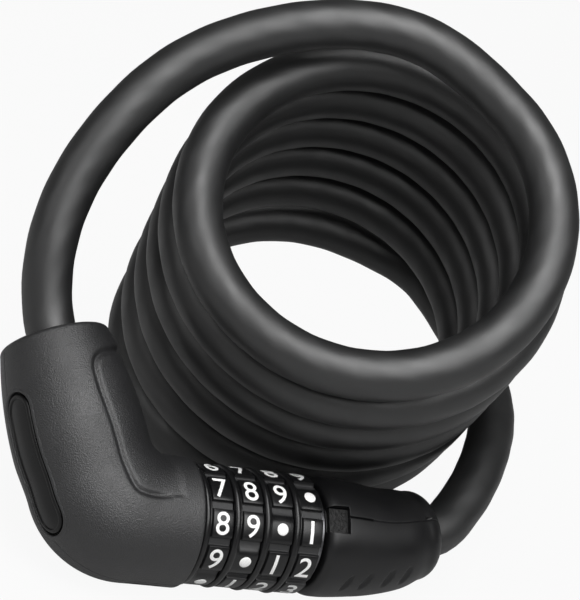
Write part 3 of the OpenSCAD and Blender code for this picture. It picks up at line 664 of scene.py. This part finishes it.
def housing_rows(step):
    """Sections from the barrel's bore over the outside to the mouth's bore: centre, direction
    across, then either a radius or how far to stay below the cast surface."""
    up = np.array([-sin(LEG_SPLAY), cos(LEG_SPLAY)])
    across = np.array([cos(LEG_SPLAY), sin(LEG_SPLAY)])
    half = (pi / 2 + LEG_SPLAY) / 2
    fan, level = FAN * np.array([cos(half), sin(half)]), np.array([0.0, 1.0])
    end = STACK_X - 0.25 - CORNER[0]
    rows = []

    def barrel(x, r=None, below=0.0):
        rows.append((np.array([x, 0.0]), level, r, below))

    def leg(s, r=None, below=0.0):
        rows.append((s * up, across, r, below))

    for r in (0.0, CORE_BORE / 2, CORE_BORE):
        barrel(CORE_FROM, r)
    for x in np.arange(CORE_FROM + 2, end, 2):
        barrel(x, CORE_BORE)
    for x, r in ((end - 0.2, CORE_BORE), (end, CORE_BORE + 0.2), (end, 12.5), (end, 14.2)):
        barrel(x, r)
    for x, below in ((0, 0.5), (0.06, 0.28), (0.2, 0.12), (0.4, 0.03), (0.6, 0.0)):
        barrel(end - x, None, below)
    for x in np.arange(end - 0.6 - step, fan[0] + step / 2, -step):
        barrel(x)
    corner = pi / 2 - LEG_SPLAY
    n = round(corner * 34 / step)
    for i in range(n + 1):
        t = corner * i / n
        out = np.array([-sin(t), -cos(t)])
        rows.append((fan + fan[1] * out, -out, None, 0.0))
    full = LEG_LEN - MOUTH_ROUND
    for s in np.linspace(fan[0], full, round((full - fan[0]) / step))[1:]:
        leg(s)
    for i in range(1, 7):
        a = pi / 2 * i / 6
        leg(full + MOUTH_ROUND * sin(a), MOUTH_R - MOUTH_ROUND * (1 - cos(a)))
    for s, r in ((0, 10.2), (0, 8.6), (0, CABLE_HOLE + 0.8), (-0.24, CABLE_HOLE + 0.24),
                 (-0.8, CABLE_HOLE)):
        leg(LEG_LEN + s, r)
    for s in np.arange(LEG_LEN - 2, CABLE_FROM, -2):
        leg(s, CABLE_HOLE)
    for s, r in ((CABLE_FROM, CABLE_HOLE), (CABLE_FROM, FERRULE_R), (FERRULE_FROM + 6, FERRULE_R),
                 (FERRULE_FROM, FERRULE_R), (FERRULE_FROM, 0.0)):
        leg(s, r)
    return rows


def housing_half(name, front, step, columns):
    """Half of the elbow from the parting plane out, closed, with its bores and recesses."""
    rows = housing_rows(step)
    edge = np.radians([90, 89.4, 88.6])
    turn = np.concatenate([-edge, np.linspace(-pi / 2, pi / 2, columns + 1)[2:-2], edge[::-1]])
    centre = np.array([q[0] for q in rows])
    w = np.array([q[1] for q in rows])
    dx, dy = w[:, :1] * np.sin(turn), w[:, 1:] * np.sin(turn)
    dz = np.tile(np.cos(turn) * (1 if front else -1), (len(rows), 1))
    dz[:, [0, -1]] = 0.0
    free = np.array([q[2] is None for q in rows])
    radius = np.tile(np.array([q[2] or 0.0 for q in rows])[:, None], (1, len(turn)))
    radius[free] = cast_out(centre[free], dx[free], dy[free], dz[free])
    at = [centre[free][:, :1] + radius[free] * dx[free], centre[free][:, 1:] + radius[free] * dy[free],
          radius[free] * dz[free]]
    deep = np.array([q[3] for q in rows])[free][:, None] + badge_depth(*at) + tab_slot_depth(*at)
    deep += PARTING_DEEP * np.clip(1 - np.abs(at[2]) / PARTING_HALF, 0, 1)
    if front:
        deep += saddle_depth(*at)
    radius[free] -= deep
    x, y, z = centre[:, :1] + radius * dx, centre[:, 1:] + radius * dy, radius * dz
    place = np.stack([x + CORNER[0], y * cos(LEG_RISE) - z * sin(LEG_RISE),
                      np.maximum(AXIS_H + y * sin(LEG_RISE) + z * cos(LEG_RISE), 0)], -1) * MM
    bm = bmesh.new()
    grid = []
    for i, line in enumerate(place):
        pole = i in (0, len(rows) - 1)
        made = [bm.verts.new(q) for q in (line[:1] if pole else line)]
        grid.append(made * len(turn) if pole else made)
    for one, two in zip(grid[:-1], grid[1:]):
        for k in range(len(turn) - 1):
            corners = list(dict.fromkeys((one[k], one[k + 1], two[k + 1], two[k])))
            bm.faces.new(corners)
    parting = bm.faces.new([q[0] for q in grid] + [q[-1] for q in grid[-2:0:-1]])
    bmesh.ops.triangulate(bm, faces=[parting], ngon_method="EAR_CLIP")
    bmesh.ops.recalc_face_normals(bm, faces=bm.faces[:])
    return add_object(name, mesh_from(bm, name), housing_mat)


def drill_back(shell):
    """Screw pockets and the slot of the code-setting slide, cut out of the back half."""
    bm = bmesh.new()
    frame_at = Matrix.Translation(Vector(CORNER * MM)) @ Matrix.Rotation(LEG_RISE, 4, "X")
    for side, s in SCREWS:
        x = side * cos(LEG_SPLAY) - s * sin(LEG_SPLAY)
        y = side * sin(LEG_SPLAY) + s * cos(LEG_SPLAY)
        place = frame_at @ Matrix.Translation(Vector((x, y, SCREW_HEAD_AT - 15)) * MM)
        bmesh.ops.create_cone(bm, cap_ends=True, segments=48, radius1=SCREW_HEAD_R * MM,
                              radius2=SCREW_HEAD_R * MM, depth=30 * MM, matrix=place)
    slot = Matrix.Diagonal((*Vector(SLIDE_SLOT) * MM, 1))
    bmesh.ops.create_cube(bm, size=1.0, matrix=Matrix.Translation(Vector(SLIDE_AT) * MM) @ slot)
    cutter = add_object("cutter", mesh_from(bm, "cutter"))
    mod = shell.modifiers.new("drill", "BOOLEAN")
    mod.operation, mod.solver, mod.object = "DIFFERENCE", "EXACT", cutter
    bpy.context.view_layer.update()
    cut = bpy.data.meshes.new_from_object(shell.evaluated_get(bpy.context.evaluated_depsgraph_get()))
    shell.modifiers.clear()
    shell.data = cut
    bpy.data.objects.remove(cutter)


def add_housing():
    front = housing_half("housing_front", True, step=0.36, columns=170)
    back = housing_half("housing_back", False, step=0.6, columns=110)
    drill_back(back)
    for o, node in ((front, "head_shell_front"), (back, "head_shell_rear")):
        o.data.name = o.name
        shade_smooth(o.data, 50)
        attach(o, "head")
        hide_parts(node)


add_housing()

# ---------------------------------------------------------------- plug

PLUG_LEN, TAIL_BEND_HALF, TAIL_ROUND = 34.0, 5.5, 5.0
# Distance from the face and radius, of the outside and of the bores for bolt, ferrule and cable
PLUG_PROFILE = [(0.0, 12.6), (0.4, 13.4), (1.2, 14.05), (3.0, 14.4), (8.0, 14.2), (14.0, 13.55),
                (20.0, 12.8), (26.0, 11.85), (29.0, 11.05)]
PLUG_BORES = [(0, 4.65), (16.5, 4.65), (16.6, FERRULE_R), (28.0, FERRULE_R), (28.1, CABLE_HOLE),
              (PLUG_LEN, CABLE_HOLE)]
PLUG_MOUTH_R = 6.45            # radius of the edge round the cable
SEAM_AT, SEAM_DEEP = radians(6), 0.6           # the seam's angle is upwards from SEAM_RISE
SEAM_OPEN_TO, NOTCH_AT = 11.5, 29.2            # along the seam: where its gap ends, and its notch
WINDOW_LEN, WINDOW_AT, WINDOW_HALF, WINDOW_FLOOR = 5.2, radians(3), radians(13.6), 11.6
GRIPS = [(8.0, -64), (12.9, -61.5), (17.9, -58.5), (22.0, -58)]     # along, degrees round
GRIP_HALF, GRIP_LONG, GRIP_DEEP, GRIP_LEAN = 0.85, 3.4, 0.6, 0.24
PLUG_AXES = [vec(1, 0, 0), vec(0, sin(SEAM_RISE), cos(SEAM_RISE)),
             vec(0, -cos(SEAM_RISE), sin(SEAM_RISE))]


def plug_spine(u):
    """Middle line of the plug in its seam's frame, and the direction across it."""
    flat, bend_r = TAIL_BEND_AT - TAIL_BEND_HALF, TAIL_BEND_HALF / tan(TAIL_BEND / 2)
    turn = min(max((u - flat) / bend_r, 0.0), TAIL_BEND)
    at = np.array([min(u, flat) + bend_r * sin(turn), bend_r * (1 - cos(turn))])
    at += max(u - flat - bend_r * TAIL_BEND, 0.0) * np.array([cos(TAIL_BEND), sin(TAIL_BEND)])
    return at, np.array([-sin(turn), cos(turn)])


def plug_radius(u):
    """Outer radius of the plug, which ends in a quarter round."""
    points = [vec(*q, 0) for q in PLUG_PROFILE]
    line = np.array(smooth_line(points, vec(0.3, 1, 0), vec(1, -0.14, 0), 0.3))
    full = PLUG_LEN - TAIL_ROUND
    past = np.maximum(u - full, 0)
    end = PLUG_PROFILE[-1][1] - TAIL_ROUND + np.sqrt(np.maximum(TAIL_ROUND ** 2 - past ** 2, 0))
    return np.where(u <= full, np.interp(u, line[:, 0], line[:, 1]), end)


def plug_depth(u, a, r):
    """Depth of the seam, the window and the slanted grip grooves below the plug's surface."""
    from_seam = r * np.abs(a - SEAM_AT)
    gap = np.where(u < SEAM_OPEN_TO, SEAM_DEEP * (1 - soft_step(from_seam, 0.12, 0.3)), 0)
    gap = np.maximum(gap, 0.14 * np.clip(1 - from_seam / 0.18, 0, 1))
    from_notch = np.hypot((u - NOTCH_AT) / 0.8, r * (a - SEAM_AT - 0.04) / 0.4)
    deep = np.maximum(gap, SEAM_DEEP * (1 - soft_step(from_notch, 0.7, 1.1)))
    for along, turn in GRIPS:
        du, da = u - along, r * (a - radians(turn))
        lengthwise = da * cos(GRIP_LEAN) + du * sin(GRIP_LEAN)
        across = du * cos(GRIP_LEAN) - da * sin(GRIP_LEAN)
        leaf = 1 - (lengthwise / GRIP_LONG) ** 2 - (across / GRIP_HALF) ** 2
        deep = np.maximum(deep, GRIP_DEEP * soft_step(leaf, 0, 0.9))
    window = (u < WINDOW_LEN) & (np.abs(a - WINDOW_AT) < WINDOW_HALF)
    return np.where(window, r - WINDOW_FLOOR, deep)


def plug_half(name, upper):
    """Half of the plug from its seam round, with its wall and the bores for bolt and cable."""
    full = PLUG_LEN - TAIL_ROUND
    u = np.concatenate([[0, 0.1, 0.25, 0.45, 0.7], np.arange(1.0, WINDOW_LEN - 0.1, 0.3),
                        [WINDOW_LEN - 0.03, WINDOW_LEN + 0.03], np.arange(WINDOW_LEN + 0.3, full, 0.3),
                        full + TAIL_ROUND * np.sin(np.linspace(0, pi / 2, 12))])
    edge = WINDOW_HALF + (WINDOW_AT - SEAM_AT if upper else SEAM_AT - WINDOW_AT)
    round_from_seam = np.unique(np.concatenate([np.radians([0, 0.4, 0.8, 1.2, 1.7, 2.4, 3.4, 4.6]),
                                                [edge - 0.002, edge + 0.002],
                                                np.linspace(radians(6), pi, 128)]))
    a = SEAM_AT + (round_from_seam if upper else -round_from_seam)
    r = plug_radius(u)[:, None] * np.ones(len(a))
    r = r - plug_depth(u[:, None], a[None, :], r)
    r[-1] = np.maximum(r[-1], PLUG_MOUTH_R)
    bore = np.interp(u, *zip(*PLUG_BORES))
    spine = [plug_spine(v) for v in u]

    def place(k, j, radius):
        (x, y), n = spine[k]
        side, out = radius * sin(a[j]), radius * cos(a[j])
        at = x + side * n[0], y + side * n[1], out
        return (vec(FACE_X, 0, AXIS_H) + sum(c * axis for c, axis in zip(at, PLUG_AXES))) * MM

    bm = bmesh.new()
    outer = [[bm.verts.new(place(k, j, r[k, j])) for j in range(len(a))] for k in range(len(u))]
    inner = [[bm.verts.new(place(k, j, bore[k])) for j in range(len(a))] for k in range(len(u))]
    for k in range(len(u) - 1):
        for j in range(len(a) - 1):
            bm.faces.new((outer[k][j], outer[k][j + 1], outer[k + 1][j + 1], outer[k + 1][j]))
            bm.faces.new((inner[k][j], inner[k + 1][j], inner[k + 1][j + 1], inner[k][j + 1]))
        for j in (0, -1):
            bm.faces.new((outer[k][j], outer[k + 1][j], inner[k + 1][j], inner[k][j]))
    for k in (0, -1):
        for j in range(len(a) - 1):
            bm.faces.new((outer[k][j], inner[k][j], inner[k][j + 1], outer[k][j + 1]))
    bmesh.ops.recalc_face_normals(bm, faces=bm.faces[:])
    mesh = mesh_from(bm, name)
    shade_smooth(mesh, 38)
    o = add_object(name, mesh, plug_mat)
    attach(o, "plug")
    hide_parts("plug_shell_upper" if upper else "plug_shell_lower")


plug_half("plug_half_upper", True)
plug_half("plug_half_lower", False)

# ---------------------------------------------------------------- badge

# Across the bare insert, from its edge inwards: how far in, and how deep below the leg
INSERT = [(0.0, 1.5), (0.0, 0.45), (0.1, 0.3), (0.3, 0.22), (0.8, 0.22), (0.95, 0.3), (1.05, 0.5),
          (1.3, 0.5), (2.4, 0.48), (3.4, 0.46), (4.05, 0.45)]
# Across the soft lip of the housing round it, from outside to the gap
LIP = [(-1.7, 1.5), (-1.7, 0.15), (-1.4, 0.0), (-1.1, -0.12), (-0.8, -0.14), (-0.6, -0.04), (-0.5, 0.15),
       (-0.5, 1.5)]


def on_leg(along, across, deep):
    """A point over the badge's place on the leg, in mm, also where the bend falls away below it."""
    s = BADGE_UP + along
    r = leg_radii(s) - max(ELBOW_AT - s, 0) ** 2 / 2 / (ELBOW_BEND + HOUSING_R)
    turn = 3 * pi / 2 - BADGE_TURN + np.arcsin(across / r)
    return leg_point(s) + (r - deep) * (cos(turn) * LEG_SIDE + sin(turn) * LEG_BACK)


def oval_loop(inset, deep):
    half, r = (BADGE_LEN - BADGE_W) / 2, BADGE_W / 2 - inset
    flat = [(half + r * cos(a), r * sin(a)) for a in np.linspace(-pi / 2, pi / 2, 17)]
    flat += [(x, r) for x in np.linspace(half, -half, 12)[1:-1]]
    flat += [(-half - r * cos(a), r * sin(a)) for a in np.linspace(pi / 2, -pi / 2, 17)]
    flat += [(x, -r) for x in np.linspace(-half, half, 12)[1:-1]]
    return [on_leg(x, y, deep) for x, y in flat]


def oval_piece(name, steps, filled, look):
    """A ring of the oval's steps, or a plate whose last step is filled in across the oval."""
    bm = bmesh.new()
    loops = [[bm.verts.new(Vector(q) * MM) for q in oval_loop(*step)] for step in steps]
    bridge(bm, loops if filled else loops + loops[:1])
    if filled:
        n, last, tip = len(loops[0]), loops[-1], 8
        bm.faces.new(last[tip - 1:tip + 2])
        for k in range(1, n // 2 - 1):
            bm.faces.new((last[(tip - k) % n], last[tip + k], last[tip + k + 1],
                          last[(tip - k - 1) % n]))
        bm.faces.new(last[n // 2 + tip - 1:n // 2 + tip + 2])
    bmesh.ops.recalc_face_normals(bm, faces=bm.faces[:])
    mesh = mesh_from(bm, name)
    shade_smooth(mesh, 40)
    o = add_object(name, mesh, look)
    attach(o, "head")
    return o


insert_piece = oval_piece("badge_face", INSERT, True, badge_mat)
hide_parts("badge_insert")
oval_piece("badge_lip", LIP, False, housing_mat)

# ---------------------------------------------------------------- floor and light

FLOOR_GLOW, FLOOR_MIRRORED = 0.93, 0.12        # share of glow that the camera and the gloss see


def add_floor():
    bm = bmesh.new()
    bmesh.ops.create_grid(bm, x_segments=2, y_segments=2, size=6.0)
    m, t, p = new_material("floor_white")
    p.inputs["Base Color"].default_value = (0.4, 0.4, 0.4, 1)
    p.inputs["Roughness"].default_value = 0.9
    p.inputs["Specular IOR Level"].default_value = 0.1
    # seen straight on it is the white of a light table, with the shadow kept faintly
    rays = add_node(t, "ShaderNodeLightPath").outputs
    mirrored = add_node(t, "ShaderNodeMath", {0: rays["Is Glossy Ray"], 1: rays["Is Transmission Ray"]},
                        operation="MAXIMUM").outputs[0]
    some = add_node(t, "ShaderNodeMath", {0: mirrored, 1: FLOOR_MIRRORED}, operation="MULTIPLY")
    share = add_node(t, "ShaderNodeMath",
                     {0: rays["Is Camera Ray"], 1: FLOOR_GLOW, 2: some.outputs[0]},
                     operation="MULTIPLY_ADD").outputs[0]
    glow = add_node(t, "ShaderNodeEmission", {"Color": (1, 1, 1, 1), "Strength": 1.0}).outputs[0]
    both = add_node(t, "ShaderNodeMixShader", {0: share, 1: p.outputs[0], 2: glow}).outputs[0]
    t.links.new(both, t.nodes["Material Output"].inputs["Surface"])
    o = add_object("floor", mesh_from(bm, "floor"), m)
    o.location = (0, 0, -0.0005)


def add_light(name, at, size, power):
    """A square lamp at a place in metres, turned to the middle of the lock."""
    data = bpy.data.lights.new(name, "AREA")
    data.shape = "RECTANGLE"
    data.size, data.size_y = size, size
    data.energy = power
    o = bpy.data.objects.new(name, data)
    o.location = at
    o.rotation_euler = (Vector(CENTRE) - Vector(at)).to_track_quat("-Z", "Y").to_euler()
    bpy.context.collection.objects.link(o)


add_floor()
scene = bpy.context.scene
world = bpy.data.worlds.new("studio")
scene.world = world
world.use_nodes = True
world.node_tree.nodes["Background"].inputs["Color"].default_value = (1, 1, 1, 1)
world.node_tree.nodes["Background"].inputs["Strength"].default_value = 0.1
scene.view_settings.view_transform = "Standard"
CENTRE = (0.045, 0.045, 0.06)
add_light("key", (-0.2, -0.9, 1.07), size=1.0, power=10.5)
add_light("top", (-0.2, -0.3, 1.4), size=0.8, power=11)
add_light("left", (-1.1, -0.1, 0.75), size=0.6, power=2)
add_light("right", (0.5, -0.85, 1.0), size=0.7, power=5)
